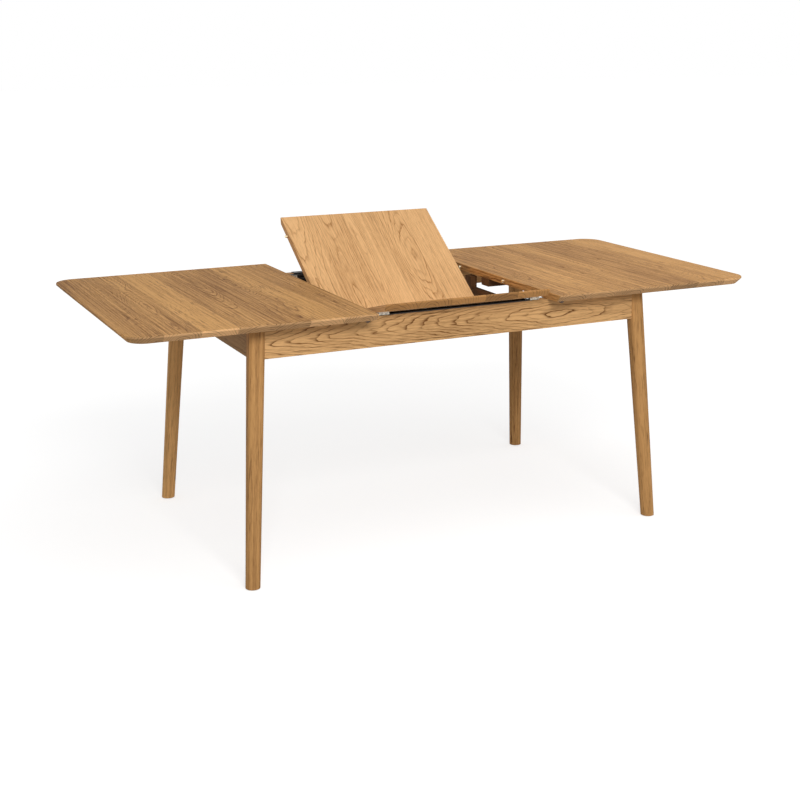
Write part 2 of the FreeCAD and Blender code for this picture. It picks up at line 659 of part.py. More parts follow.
def hinge_bodies(label, sy, room):
    """The mortised hinge blocks of one leaf half, or with room the mortises for them."""
    y = side(sy, "fold_gap", "fold_gap + block_deep")
    if room:
        y = side(sy, "-1", "fold_gap + block_deep")
    return [block("%s_%d" % (label, i), (x + " - block_wide / 2", x + " + block_wide / 2"), y,
                  ("table_height - 1.5 - block_tall", "table_height - 1.5")) for i, x in enumerate(HINGES)]


def link_rods(label, radius, thick):
    return [rod("%s_%d" % (label, i), "x", radius, thick, "%s - (%s) / 2" % (x, thick), "0", "fold_z")
            for i, x in enumerate(HINGES)]


def leaf_bores(label, sy):
    """A socket in a leaf half's right side, and a bore for the pin in its left side."""
    socket = rod(label + "_socket", "x", "pin_radius + socket_fit", "pin_out + 3",
                 "leaf_half - pin_out - 2", LEAF_SOCKETS[sy], "mid_z")
    bore = rod(label + "_bore", "x", "pin_radius + pin_fit", "pin_in + 1", "-leaf_half - 1",
               LEAF_PINS[sy], "mid_z")
    return [socket, bore]


def leaf_half_panel(name, sy, extra):
    tools = leaf_bores(name, sy) + hinge_bodies(name + "_mortise", sy, True)
    tools += link_rods(name + "_link_room", "link_radius + run_fit", "link_thick + 0.6") + extra
    return cut(name, leaf_slab(name, sy), tools)


def hinge_blocks(name, sy):
    room = link_rods(name + "_room", "link_radius + run_fit", "link_thick + 0.6")
    return group(name, [cut("%s_%d_body" % (name, i), b, [r])
                        for i, (b, r) in enumerate(zip(hinge_bodies(name, sy, False), room))])


def arm_plate(label, sx):
    return block(label, side(sx, "pivot_x - plate_half", "pivot_x + plate_half"),
                 ("-pivot_y - plate_front", "-pivot_y + plate_back"),
                 ("leaf_under", "leaf_under + sheet_thick"))


ARM_SCREWS = ("-pivot_y - plate_front + tongue_deep + plate_screw",
              "-pivot_y + plate_back - plate_screw")


def arm_bores(label, sx, z, depth, radius):
    return [rod("%s_%d" % (label, i), "z", radius, depth, signed(sx, "pivot_x"), y, z)
            for i, y in enumerate(ARM_SCREWS)]


def pivot_arm(name, sx):
    x = side(sx, "pivot_x - arm_half", "pivot_x + arm_half")
    eye = rod(name + "_eye", "x", "arm_eye", "arm_half * 2", x[0], "-pivot_y", "pivot_z")
    stem = block(name + "_stem", x, ("-pivot_y - arm_back", "-pivot_y"), ("pivot_z", "leaf_under + 1"))
    front = "-pivot_y - plate_front"
    tongue = block(name + "_tongue", side(sx, "pivot_x - plate_half", "pivot_x + plate_half"),
                   (front, front + " + tongue_deep"), ("leaf_under - tongue_drop", "leaf_under + 1"))
    solid = fuse(name + "_solid", [arm_plate(name + "_plate", sx), tongue, stem, eye])
    tools = [rod(name + "_bore", "x", "pivot_radius + run_fit", "arm_half * 2 + 2", x[0] + " - 1",
                 "-pivot_y", "pivot_z")]
    tools += arm_bores(name + "_screw_bore", sx, "leaf_under - 1", "sheet_thick + 2", "screw_radius + 0.02")
    tools += arm_bores(name + "_sink", sx, "leaf_under - 1", "sheet_thick / 2 + 1", "screw_head + 0.02")
    return cut(name, solid, tools)


def arm_screws(label, sx):
    heads = arm_bores(label + "_head", sx, "leaf_under", "sheet_thick / 2", "screw_head")
    shanks = arm_bores(label + "_shank", sx, "leaf_under + sheet_thick / 2",
                       "sheet_thick / 2 + screw_grip", "screw_radius")
    return [fuse("%s_%d_screw" % (label, i), [h, s]) for i, (h, s) in enumerate(zip(heads, shanks))]


def build_leaf():
    recess = []
    arms, screws, pins = [], [], []
    for hand, sx in SIDES:
        recess.append(arm_plate("arm_recess_" + hand, sx))
        recess += arm_bores("arm_bore_" + hand, sx, "leaf_under - 1", "sheet_thick + screw_grip + 1.2",
                            "screw_radius + 0.02")
        arms.append(pivot_arm("pivot_arm_" + hand, sx))
        screws += arm_screws("arm_screw_" + hand, sx)
        start = side(sx, "pivot_x - saddle_half + 0.5", "pivot_x + saddle_half - 0.5")[0]
        pins.append(rod("pivot_pin_" + hand, "x", "pivot_radius", "saddle_half * 2 - 1", start,
                        "-pivot_y", "pivot_z"))
    for half, sy in ROWS:
        pin = align_pin("leaf_pin_rod_" + half, "-leaf_half - pin_out", LEAF_PINS[sy])
        keep(pose(group("align_pin_leaf_" + half, [pin]), half))
    keep(pose(leaf_half_panel("leaf_front", -1, recess), "front"))
    keep(pose(group("pivot_arms", arms), "front"))
    keep(pose(group("arm_screws", screws), "front"))
    keep(group("pivot_pins", pins))
    keep(pose(hinge_blocks("hinge_blocks_front", -1), "front"))
    flats = [block("link_flat_%d" % i, (x + " - link_thick", x + " + link_thick"),
                   ("-link_radius * 2", "link_radius * 2"), ("fold_z - 1", "fold_z + link_radius * 2"))
             for i, x in enumerate(HINGES)]
    links = [cut("hinge_link_%d" % i, r, [f]) for i, (r, f) in enumerate(zip(
        link_rods("link_round", "link_radius", "link_thick"), flats))]
    keep(pose(group("hinge_links", links), "back"))
    keep(pose(leaf_half_panel("leaf_back", 1, []), "back"))
    keep(pose(hinge_blocks("hinge_blocks_back", 1), "back"))
    pads = [rod("rest_pad_" + hand, "z", "pad_radius", "leaf_under - lip_top - fold_gap",
                signed(sx, "leaf_half * 0.75"), "inner_y + pad_radius", "lip_top + fold_gap")
            for hand, sx in SIDES]
    keep(pose(group("rest_pads", pads), "back"))


def check_and_write():
    bad = []
    for obj in doc.Objects:
        if "Invalid" in obj.State or "Error" in obj.State:
            bad.append("%s state %s" % (obj.Label, obj.State))
    for obj in NODES:
        if obj.Shape.isNull() or not obj.Shape.isValid() or not obj.Shape.Solids:
            bad.append(obj.Label + " has no valid shape")
    if bad:
        raise RuntimeError("; ".join(bad))
    os.makedirs("parts", exist_ok=True)
    for obj in NODES:
        obj.Shape.exportStep("parts/%s.step" % obj.Label)


fill_sheet()
build_aprons(build_legs())
build_well()
build_rails()
build_pivots()
for top_hand, top_sign in SIDES:
    build_top(top_hand, top_sign)
build_leaf()
doc.recompute()
check_and_write()
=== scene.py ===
import json
import math
import bpy
from mathutils import Matrix, Vector


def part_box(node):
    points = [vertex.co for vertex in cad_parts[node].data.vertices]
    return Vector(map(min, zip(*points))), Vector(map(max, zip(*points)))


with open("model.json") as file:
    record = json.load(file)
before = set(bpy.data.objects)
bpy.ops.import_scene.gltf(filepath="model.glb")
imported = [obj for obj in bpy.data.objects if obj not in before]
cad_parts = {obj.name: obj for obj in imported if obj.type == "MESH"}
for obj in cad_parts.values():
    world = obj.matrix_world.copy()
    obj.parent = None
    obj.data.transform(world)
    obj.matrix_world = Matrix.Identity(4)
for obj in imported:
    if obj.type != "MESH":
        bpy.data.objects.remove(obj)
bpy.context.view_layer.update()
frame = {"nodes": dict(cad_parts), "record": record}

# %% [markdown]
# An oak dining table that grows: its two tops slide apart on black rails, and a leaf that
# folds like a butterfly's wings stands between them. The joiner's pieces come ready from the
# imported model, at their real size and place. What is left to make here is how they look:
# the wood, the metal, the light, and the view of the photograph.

NODES = frame["nodes"]

# %% [markdown]
# The camera stands in front of the table and to its left, a little above the tops, and looks
# slightly down. It could be placed by eye, but then no edge would lie quite where it should. So
# its place and lens were found by fitting the table's edges in the photograph, which also gave
# the table's width and the spread of its legs.

# %% Camera
CAMERA_PLACE = Vector((-1.788, -3.672, 1.505))
TURN_RIGHT = math.radians(25.81)
LOOK_DOWN = math.radians(15.69)
LENS = 59.8
SENSOR_WIDTH = 36.0


def add_camera():
    data = bpy.data.cameras.new("photo_camera")
    data.lens = LENS
    data.sensor_width = SENSOR_WIDTH
    camera = bpy.data.objects.new("photo_camera", data)
    camera.location = CAMERA_PLACE
    camera.rotation_euler = (math.pi / 2 - LOOK_DOWN, 0.0, -TURN_RIGHT)
    bpy.context.scene.collection.objects.link(camera)
    bpy.context.scene.camera = camera
    print("camera at", tuple(round(v, 3) for v in CAMERA_PLACE))


add_camera()

# %% [markdown]
# A material is a small machine of nodes. It could be wired by hand in the shader editor, but oak
# takes more nodes than a screen holds, so short helpers do the wiring: one feeds a value or a
# wire into a socket, whichever it is given, one adds a node and sets its values, and two do
# arithmetic.


# %% Helpers for wiring nodes
def feed(tree, socket, value):
    if isinstance(value, bpy.types.NodeSocket):
        tree.links.new(value, socket)
    else:
        socket.default_value = value


def add_node(tree, kind, inputs=(), **settings):
    node = tree.nodes.new("ShaderNode" + kind)
    for name, value in settings.items():
        setattr(node, name, value)
    for key, value in dict(inputs).items():
        feed(tree, node.inputs[key], value)
    return node


def maths(tree, operation, a, b=0.0, c=0.0):
    node = add_node(tree, "Math", {0: a, 1: b, 2: c}, operation=operation)
    return node.outputs[0]


def vector_maths(tree, operation, a, b=(0.0, 0.0, 0.0)):
    return add_node(tree, "VectorMath", {0: a, 1: b}, operation=operation).outputs[0]


def new_material(name):
    material = bpy.data.materials.new(name)
    material.use_nodes = True
    tree = material.node_tree
    return material, tree, tree.nodes["Principled BSDF"]


print("helpers for wiring ready")

# %% [markdown]
# Wood and metal get their unevenness from noise. Noise comes as numbers near one half, so one
# helper stretches a range of them to another range, and one mixes two colours by such a number.
# Colours are easiest to choose as they look on screen, while Blender counts in linear light, so
# the last helper turns the one into the other.


# %% Helpers for noise and colour
def noise(tree, place, scale, detail, roughness=0.5):
    inputs = {"Vector": place, "Scale": scale, "Detail": detail, "Roughness": roughness}
    return add_node(tree, "TexNoise", inputs, noise_dimensions="3D").outputs["Fac"]


def stretch(tree, value, low, high, to_low=0.0, to_high=1.0):
    inputs = {"Value": value, "From Min": low, "From Max": high, "To Min": to_low, "To Max": to_high}
    return add_node(tree, "MapRange", inputs, clamp=True).outputs[0]


def blend_colours(tree, share, a, b):
    node = add_node(tree, "Mix", data_type="RGBA", blend_type="MIX", clamp_factor=True)
    sockets = [s for s in node.inputs if s.type == "RGBA"]
    feed(tree, node.inputs[0], share)
    feed(tree, sockets[0], a)
    feed(tree, sockets[1], b)
    return [s for s in node.outputs if s.type == "RGBA"][0]


def linear(red, green, blue):
    """A colour given as it looks on screen, 0 to 255, as linear light, by the sRGB curve."""
    parts = []
    for value in (red, green, blue):
        part = value / 255.0
        parts.append(part / 12.92 if part <= 0.04045 else ((part + 0.055) / 1.055) ** 2.4)
    return (*parts, 1.0)


print("middle grey in linear light:", round(linear(128, 128, 128)[0], 3))

# %% [markdown]
# Oak is drawn as a tree grows it. Every board is cut from a log, so the pattern is a set of
# rings round a pith line that runs along the board, a few centimetres under its face. Where
# the face cuts the rings at a slant they open into the tall arches of flat-sawn oak. A picture
# of wood could be wrapped round the boards instead, but it would stop at their edges, while this
# pattern runs right through them.
#
# No line in wood is quite straight or even, so waves of noise bend and fade them all. Each wave
# has a name, and then the number of waves in a metre along the grain and across it, the noise's
# detail and its roughness. All are longer along the grain than across it.

# %% Waves in the wood
WAVES = {
    "pith drift": (1.9, 3.0, 1.0, 0.5),
    "pith sway": (1.1, 4.0, 2.0, 0.4),
    "ring ripple": (14.0, 44.0, 2.0, 0.55),
    "ring lean": (0.6, 22.0, 2.0, 0.5),
    "ring fade": (6.0, 45.0, 2.0, 0.5),
    "streak": (2.2, 150.0, 5.0, 0.68),
    "cloud": (1.5, 7.0, 2.0, 0.5),
    "fibre": (34.0, 420.0, 3.0, 0.6),
    "fine pore": (60.0, 1150.0, 1.0, 0.5),
    "pore dash": (13.0, 190.0, 3.0, 0.6),
    "dash band": (2.0, 16.0, 2.0, 0.5),
}


def swing(tree, place, name):
    """The named wave at a place in the wood. It swings about zero."""
    along, across, detail, roughness = WAVES[name]
    waves = vector_maths(tree, "MULTIPLY", place, (along, across, across))
    return maths(tree, "SUBTRACT", noise(tree, waves, 1.0, detail, roughness), 0.5)


print("waves in the wood:", ", ".join(WAVES))

# %% [markdown]
# The tops and the leaf are panels, glued up from staves. The staves could be pieces of their own,
# but they are planed flush, and only their grain and a thin line of glue tell them apart. So the
# pattern counts staves across the panel and draws chance numbers for each one, which give it
# another pith and another tone.

# %% Staves
SEAM_WIDTH = 0.0016


def stave_facts(tree, across, stave, seed):
    """How far a point is from the middle of its stave, the glue seam, and four chance numbers."""
    share = maths(tree, "DIVIDE", across, stave)
    index = maths(tree, "FLOOR", share)
    from_middle = maths(tree, "SUBTRACT", maths(tree, "SUBTRACT", share, index), 0.5)
    offset = maths(tree, "MULTIPLY", from_middle, stave)
    half = maths(tree, "MULTIPLY", stave, 0.5)
    inset = maths(tree, "SUBTRACT", half, maths(tree, "ABSOLUTE", offset))
    seam = stretch(tree, inset, 0.0, SEAM_WIDTH, 1.0, 0.0)
    chance = add_node(tree, "TexWhiteNoise", {"W": maths(tree, "ADD", index, seed)}, noise_dimensions="1D")
    parts = add_node(tree, "SeparateColor", {0: chance.outputs["Color"]})
    return offset, seam, list(parts.outputs) + [chance.outputs["Value"]]


print("glue seams fade over", SEAM_WIDTH, "m")

# %% [markdown]
# A ring is one year's growth. The year of a point is its distance from the pith, divided by the
# width of a ring, and the rest of that division says whether it lies in the dark, porous early
# wood or in the paler late wood. The pith sways and drifts on its way along the board. In a board
# cut near the heart of its log it comes close to the face in one place and dives away on both
# sides, so that the arches nest round that place.

# %% Rings
PITH_NEAREST = 0.02
PITH_SPREAD = 0.06
PITH_ASIDE = 0.09
PITH_SWAY = 0.06
HEART_ROUND = 0.1
RING_RIPPLE = 0.006
RING_LEAN = 0.01
FAINTEST_RING = 0.3
FADE_RANGE = (-0.2, 0.1)
EARLY_START = 0.08
EARLY_END = 0.46
EARLY_CURVE = 1.8


def pith_depth(tree, given, place, run, depth, chance):
    """How far below the face the pith lies. It drifts, and dives on both sides of the board's heart."""
    below = maths(tree, "MULTIPLY_ADD", chance[1], PITH_SPREAD, PITH_NEAREST)
    drift = maths(tree, "MULTIPLY", swing(tree, place, "pith drift"), given["Drift"])
    below = maths(tree, "ADD", below, maths(tree, "ADD", drift, depth))
    away = maths(tree, "POWER", maths(tree, "SUBTRACT", run, given["Heart"]), 2.0)
    away = maths(tree, "SQRT", maths(tree, "ADD", away, HEART_ROUND ** 2))
    return maths(tree, "MULTIPLY_ADD", away, given["Bulge"], below)


def ring_radius(tree, place, offset, below, chance):
    """The distance from the pith, which wanders as it runs along the board."""
    aside = maths(tree, "MULTIPLY_ADD", maths(tree, "SUBTRACT", chance[0], 0.5), PITH_ASIDE, offset)
    aside = maths(tree, "MULTIPLY_ADD", swing(tree, place, "pith sway"), PITH_SWAY, aside)
    squares = [maths(tree, "POWER", reach, 2.0) for reach in (aside, below)]
    radius = maths(tree, "SQRT", maths(tree, "ADD", *squares))
    radius = maths(tree, "MULTIPLY_ADD", swing(tree, place, "ring ripple"), RING_RIPPLE, radius)
    return maths(tree, "MULTIPLY_ADD", swing(tree, place, "ring lean"), RING_LEAN, radius)


def ring_pattern(tree, place, radius, ring):
    """1 in the porous early wood that starts each ring, falling to 0 in the late wood."""
    year = maths(tree, "DIVIDE", radius, ring)
    turn = maths(tree, "FRACT", year)
    luck = add_node(tree, "TexWhiteNoise", {"W": maths(tree, "FLOOR", year)}, noise_dimensions="1D")
    strength = maths(tree, "MULTIPLY_ADD", luck.outputs["Value"], 1.0 - FAINTEST_RING, FAINTEST_RING)
    fade = stretch(tree, swing(tree, place, "ring fade"), *FADE_RANGE, FAINTEST_RING, 1.0)
    rise = stretch(tree, turn, 0.0, EARLY_START)
    fall = maths(tree, "POWER", stretch(tree, turn, EARLY_START, EARLY_END, 1.0, 0.0), EARLY_CURVE)
    line = maths(tree, "MULTIPLY", rise, fall)
    return maths(tree, "MULTIPLY", line, maths(tree, "MULTIPLY", strength, fade))


print("early wood fills", EARLY_END, "of a ring")

# %% [markdown]
# The tone of a board runs from a pale to a deep brown. Rings deepen it, and so do streaks, soft
# clouds and fine fibres. Oak also has open pores, which show as short dark dashes. Cutting them
# into the mesh would take millions of faces, so they are noise again, cut off at a level that
# leaves only its peaks.

# %% Tone and pores
LEAST_TONE = 0.1
BOLD_SPREAD = 0.9
BOLD_LEAST = 0.4
CLOUD_SHARE = 0.9
FIBRE_SHARE = 0.9
FINE_CUT = (0.06, 0.2)
DASH_CUT = (0.05, 0.16)
BAND_CUT = (-0.1, 0.1)
LATE_PORES = 0.2


def wood_tone(tree, given, place, rings, chance):
    """How deep the brown is, from 0 to 1, and the streaks in it."""
    tone = maths(tree, "MULTIPLY_ADD", chance[3], given["Blotch"], LEAST_TONE)
    bold = maths(tree, "MULTIPLY_ADD", chance[2], BOLD_SPREAD, BOLD_LEAST)
    tone = maths(tree, "MULTIPLY_ADD", rings, maths(tree, "MULTIPLY", given["Figure"], bold), tone)
    streak = swing(tree, place, "streak")
    tone = maths(tree, "MULTIPLY_ADD", streak, given["Streak"], tone)
    tone = maths(tree, "MULTIPLY_ADD", swing(tree, place, "cloud"), CLOUD_SHARE, tone)
    tone = maths(tree, "MULTIPLY_ADD", swing(tree, place, "fibre"), FIBRE_SHARE, tone)
    return stretch(tree, tone, 0.0, 1.0), streak


def open_pores(tree, given, place, rings):
    """Fine pores, most of them in the early wood, and longer dashes gathered in bands."""
    fine = stretch(tree, swing(tree, place, "fine pore"), *FINE_CUT)
    fine = maths(tree, "MULTIPLY", fine, maths(tree, "MULTIPLY_ADD", rings, 1.0 - LATE_PORES, LATE_PORES))
    dash = stretch(tree, swing(tree, place, "pore dash"), *DASH_CUT)
    band = stretch(tree, swing(tree, place, "dash band"), *BAND_CUT)
    dash = maths(tree, "MULTIPLY", maths(tree, "MULTIPLY", dash, band), given["Pores"])
    return fine, dash


print("late wood keeps", LATE_PORES, "of the fine pores")

# %% [markdown]
# All of this goes into one node group, so that every board shares it and differs only in what it
# feeds in. The group takes a place in the board's own directions: x along the grain, y across it
# and z through its thickness. It gives the colour, the roughness and a fine height for the pores.
#
# On the ends of a board the same rings show as short arcs. They are drawn there at twice the
# width, because at the photograph's distance the real ones would melt into one tone.

# %% Colours of faces and ends
PORE_BROWN = linear(92, 60, 32)
END_SHADE = linear(66, 42, 21)
FINE_DARK = 0.5
DASH_DARK = 0.55
SEAM_DARK = 0.3
END_SPREAD = 2.0
END_RING = 0.9
END_BLOTCH = 0.5


def face_colour(tree, given, tone, fine, dash, seam):
    """The colour along the grain, with the pores and seams in it."""
    colour = blend_colours(tree, tone, given["Pale"], given["Deep"])
    dark = maths(tree, "MULTIPLY_ADD", fine, FINE_DARK, maths(tree, "MULTIPLY", dash, DASH_DARK))
    dark = maths(tree, "MULTIPLY_ADD", seam, SEAM_DARK, dark)
    return blend_colours(tree, dark, colour, PORE_BROWN)


def end_colour(tree, given, place, radius, chance):
    """The colour across the grain, on the ends."""
    ring = maths(tree, "MULTIPLY", given["Ring"], END_SPREAD)
    rings = ring_pattern(tree, place, radius, ring)
    tone = maths(tree, "MULTIPLY_ADD", rings, END_RING, maths(tree, "MULTIPLY", chance[3], END_BLOTCH))
    return blend_colours(tree, tone, given["End"], END_SHADE)


print("end rings drawn", END_SPREAD, "times as wide")

# %% [markdown]
# The group's sockets are what a board can choose, and its results are what the shader needs. A
# stave's chance number also moves it a long way through the noise, so that no two staves share
# the same streaks.

# %% The oak group
BOARD_NUMBERS = ("Along", "Stave", "Seed", "Ring", "Figure", "Streak", "Pores", "Blotch", "Drift", "Heart",
                 "Bulge")
BOARD_COLOURS = ("Pale", "Deep", "End")
STAVE_JUMP = 30.0
END_TURN = (0.3, 0.7)
END_SHARE = 0.9
STREAK_RANGE = (-0.3, 0.3)
SATIN = (0.58, 0.7)
PORE_ROUGH = 0.2
RING_HEIGHT = -0.12
PORE_HEIGHT = -1.0


def group_sockets(group):
    made = group.interface
    made.new_socket("Place", in_out="INPUT", socket_type="NodeSocketVector")
    for name in BOARD_NUMBERS:
        made.new_socket(name, in_out="INPUT", socket_type="NodeSocketFloat")
    for name in BOARD_COLOURS:
        made.new_socket(name, in_out="INPUT", socket_type="NodeSocketColor")
    made.new_socket("Colour", in_out="OUTPUT", socket_type="NodeSocketColor")
    made.new_socket("Roughness", in_out="OUTPUT", socket_type="NodeSocketFloat")
    made.new_socket("Height", in_out="OUTPUT", socket_type="NodeSocketFloat")


def build_oak_group():
    group = bpy.data.node_groups.new("oak_grain", "ShaderNodeTree")
    group_sockets(group)
    given = group.nodes.new("NodeGroupInput").outputs
    result = group.nodes.new("NodeGroupOutput").inputs
    run, across, depth = add_node(group, "SeparateXYZ", {0: given["Place"]}).outputs
    offset, seam, chance = stave_facts(group, across, given["Stave"], given["Seed"])
    leap = maths(group, "MULTIPLY", chance[2], STAVE_JUMP)
    jump = add_node(group, "CombineXYZ", {0: leap, 1: given["Seed"]})
    place = vector_maths(group, "ADD", given["Place"], jump.outputs[0])
    below = pith_depth(group, given, place, run, depth, chance)
    radius = ring_radius(group, place, offset, below, chance)
    rings = ring_pattern(group, place, radius, given["Ring"])
    tone, streak = wood_tone(group, given, place, rings, chance)
    fine, dash = open_pores(group, given, place, rings)
    face = face_colour(group, given, tone, fine, dash, seam)
    end = end_colour(group, given, place, radius, chance)
    on_end = stretch(group, given["Along"], *END_TURN, 0.0, END_SHARE)
    satin = stretch(group, streak, *STREAK_RANGE, *SATIN)
    pits = maths(group, "MULTIPLY", fine, PORE_HEIGHT)
    feed(group, result["Colour"], blend_colours(group, on_end, face, end))
    feed(group, result["Roughness"], maths(group, "MULTIPLY_ADD", fine, PORE_ROUGH, satin))
    feed(group, result["Height"], maths(group, "MULTIPLY_ADD", rings, RING_HEIGHT, pits))
    print("oak pattern:", len(group.nodes), "nodes")
    return group


oak_grain = build_oak_group()

# %% [markdown]
# No two boards of a real table have quite the same tone, so there are several kinds of oak. A
# kind says how wide its rings are in metres, how strongly its rings, streaks and pores show, how
# far its staves differ in tone and how far its pith drifts. Then come its colours: pale and deep
# for the faces, and one for the ends. Some kinds are also lighter or darker copies for how the light
# falls: the left top, the front apron and the left apron are darkened as painted shade, the back legs are
# lightened as painted light, and the leaf is paler, partly as painted light. The wood inside the table is
# plainer, and painted dark as painted shade.

# %% Kinds of oak
TABLE_OAK = {"Ring": 0.0036, "Figure": 0.8, "Streak": 2.4, "Pores": 1.1, "Blotch": 0.4, "Drift": 0.11,
             "Pale": linear(222, 168, 104), "Deep": linear(120, 77, 36), "End": linear(234, 184, 130)}
# The left top's kind is the table oak with a darker pale and deep: painted shade, so that this top looks
# less lit than the right one.
LEFT_TOP_PAINTED_SHADE_OAK = {**TABLE_OAK, "Pale": linear(213, 161, 97), "Deep": linear(118, 76, 35)}
# The leaf's pale is paler than the tops': partly its own tone, partly painted light for the back half that
# tilts toward the front lamp.
LEAF_OAK_PARTLY_PAINTED_LIGHT = {"Ring": 0.0044, "Figure": 0.8, "Streak": 1.2, "Pores": 0.5, "Blotch": 0.2, "Drift": 0.1,
            "Pale": linear(235, 186, 130), "Deep": linear(156, 105, 55), "End": linear(180, 128, 72)}
APRON_OAK = {"Ring": 0.0042, "Figure": 1.3, "Streak": 1.2, "Pores": 1.2, "Blotch": 0.1, "Drift": 0.05,
             "Pale": linear(228, 180, 124), "Deep": linear(112, 72, 35), "End": linear(140, 98, 56)}
# The front apron's figure nests round its heart; its pale is a little darker than the other aprons', as
# painted shade, since it faces the strong front lamp.
FRONT_OAK_WITH_PAINTED_SHADE = {**APRON_OAK, "Ring": 0.0034, "Figure": 1.6, "Streak": 1.8, "Pores": 1.6, "Drift": 0.02,
             "Heart": 0.35, "Bulge": 0.06, "Pale": linear(224, 176, 119)}
# The left apron faces away from the lamps; its darker pale and deep are painted shade.
SHADED_OAK = {**APRON_OAK, "Pale": linear(177, 138, 91), "Deep": linear(100, 66, 34)}
LEG_OAK = {"Ring": 0.0036, "Figure": 0.5, "Streak": 2.0, "Pores": 1.5, "Blotch": 0.3, "Drift": 0.11,
           "Pale": linear(200, 150, 93), "Deep": linear(108, 69, 33), "End": linear(130, 92, 54)}
# The two back legs stand in the shade of the tops; their paler kinds are painted light, a little on the
# back right leg and much on the back left.
BACK_RIGHT_LEG_PAINTED_LIGHT_OAK = {**LEG_OAK, "Pale": linear(206, 155, 97)}
BACK_LEFT_LEG_PAINTED_LIGHT_OAK = {**LEG_OAK, "Pale": linear(234, 180, 116), "Deep": linear(132, 88, 44)}
# The inner wood's dark colours are painted shade, for the dark inside of the table.
INNER_OAK_PAINTED_SHADE = {"Ring": 0.0036, "Figure": 0.5, "Streak": 1.4, "Pores": 1.0, "Blotch": 0.3, "Drift": 0.11,
             "Pale": linear(96, 64, 37), "Deep": linear(56, 36, 19), "End": linear(96, 64, 36)}
print("rings of the tops are", TABLE_OAK["Ring"], "m wide")

# %% [markdown]
# Each board is given its own directions: the way its grain runs, and the way that points out
# of its broad face. The pieces could be turned until the pattern fits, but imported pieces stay
# where they are, so a Mapping node turns the scene's directions into the board's. The leaf halves
# stand tilted and the legs lean, so their directions lean with them.

# %% One oak for each board
PORE_DEPTH = 0.00025
PORE_STRENGTH = 0.5
OILED_SHINE = 0.15
BOARD_WIDTH = 0.3


def board_turn(along, out):
    """The turn from the scene's directions to a board's: along its grain, across, and out."""
    along = Vector(along).normalized()
    out = Vector(out)
    out = (out - along * out.dot(along)).normalized()
    across = out.cross(along)
    return Matrix((along, across, out))


def oak(name, along, out, face, kind, seed, stave=BOARD_WIDTH):
    """Oak whose grain runs along one direction, with a point of its broad face as the start."""
    material, tree, shader = new_material(name)
    turn = board_turn(along, out)
    where = add_node(tree, "TexCoord").outputs
    mapping = add_node(tree, "Mapping", {"Vector": where["Object"]})
    mapping.inputs["Rotation"].default_value = turn.to_euler()
    mapping.inputs["Location"].default_value = -(turn @ Vector(face))
    facing = {0: where["Normal"], 1: tuple(turn[0])}
    along_face = add_node(tree, "VectorMath", facing, operation="DOT_PRODUCT")
    grain = add_node(tree, "Group", node_tree=oak_grain)
    given = {"Place": mapping.outputs[0], "Stave": stave, "Seed": seed, **kind,
             "Along": maths(tree, "ABSOLUTE", along_face.outputs["Value"])}
    for key, value in given.items():
        feed(tree, grain.inputs[key], value)
    relief = {"Height": grain.outputs["Height"], "Strength": PORE_STRENGTH, "Distance": PORE_DEPTH}
    bump = add_node(tree, "Bump", relief)
    feed(tree, shader.inputs["Base Color"], grain.outputs["Colour"])
    feed(tree, shader.inputs["Roughness"], grain.outputs["Roughness"])
    feed(tree, shader.inputs["Normal"], bump.outputs[0])
    shader.inputs["Specular IOR Level"].default_value = OILED_SHINE
    return material


def dress(material, *names):
    """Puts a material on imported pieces, in every slot that they have."""
    for name in names:
        mesh = NODES[name].data
        if not mesh.materials:
            mesh.materials.append(material)
        for slot in range(len(mesh.materials)):
            mesh.materials[slot] = material


print("pores are", PORE_DEPTH, "m deep")

# %% [markdown]
# The tops are glued from staves about ten centimetres wide that run from front to back, so
# their end grain shows on the long edges of the table. The leaf was cut from the same sort of
# panel, and its two halves share the staves: laid flat, their grain runs on across the fold. The
# staves are counted from a little outside each panel, or else a seam would darken its edges.

# %% Tops and leaf
FRONT_TILT = math.radians(-15.0)
BACK_TILT = math.radians(35.1)
FOLD_LINE = Vector((0.0, 0.0009, 0.6562))
# The left top takes the darker copy of the table oak, which is painted shade.
TOPS = {"top_left": (LEFT_TOP_PAINTED_SHADE_OAK, 7.0), "top_right": (TABLE_OAK, 11.0)}
LEAF_HALVES = {"leaf_front": FRONT_TILT, "leaf_back": BACK_TILT}
LEAF_SEED = 23.0
TOP_STAVES = 7
LEAF_STAVES = 5
SEAM_MARGIN = 0.003


def tilted(angle, vector):
    return Matrix.Rotation(angle, 3, "X") @ Vector(vector)


def panel_staves(name, count):
    """Where the first stave of a panel starts, and how wide each is. No seam falls on an edge."""
    low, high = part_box(name)
    return low.x - SEAM_MARGIN, (high.x - low.x + 2 * SEAM_MARGIN) / count


def dress_tops():
    for name, (kind, seed) in TOPS.items():
        edge, stave = panel_staves(name, TOP_STAVES)
        face = (edge, 0.0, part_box(name)[1].z)
        dress(oak("oak_" + name, (0, 1, 0), (0, 0, 1), face, kind, seed, stave), name)


def dress_leaf():
    edge, stave = panel_staves("leaf_front", LEAF_STAVES)
    face = FOLD_LINE + Vector((edge, 0, 0))
    for name, tilt in LEAF_HALVES.items():
        along = tilted(tilt, (0, 1, 0))
        out = tilted(tilt, (0, 0, 1))
        dress(oak("oak_" + name, along, out, face, LEAF_OAK_PARTLY_PAINTED_LIGHT, LEAF_SEED, stave), name)


dress_tops()
dress_leaf()
print("in oak:", ", ".join([*TOPS, *LEAF_HALVES]))

# %% [markdown]
# The aprons are single boards laid on edge, sawn flat so that their outer faces carry long
# arches. The front one is cut near the heart of its log, and its arches nest round one place. The
# legs are straight-grained, which keeps them true. An apron is taken from the middle of a wider
# board, so its pattern starts half a board's width below it.

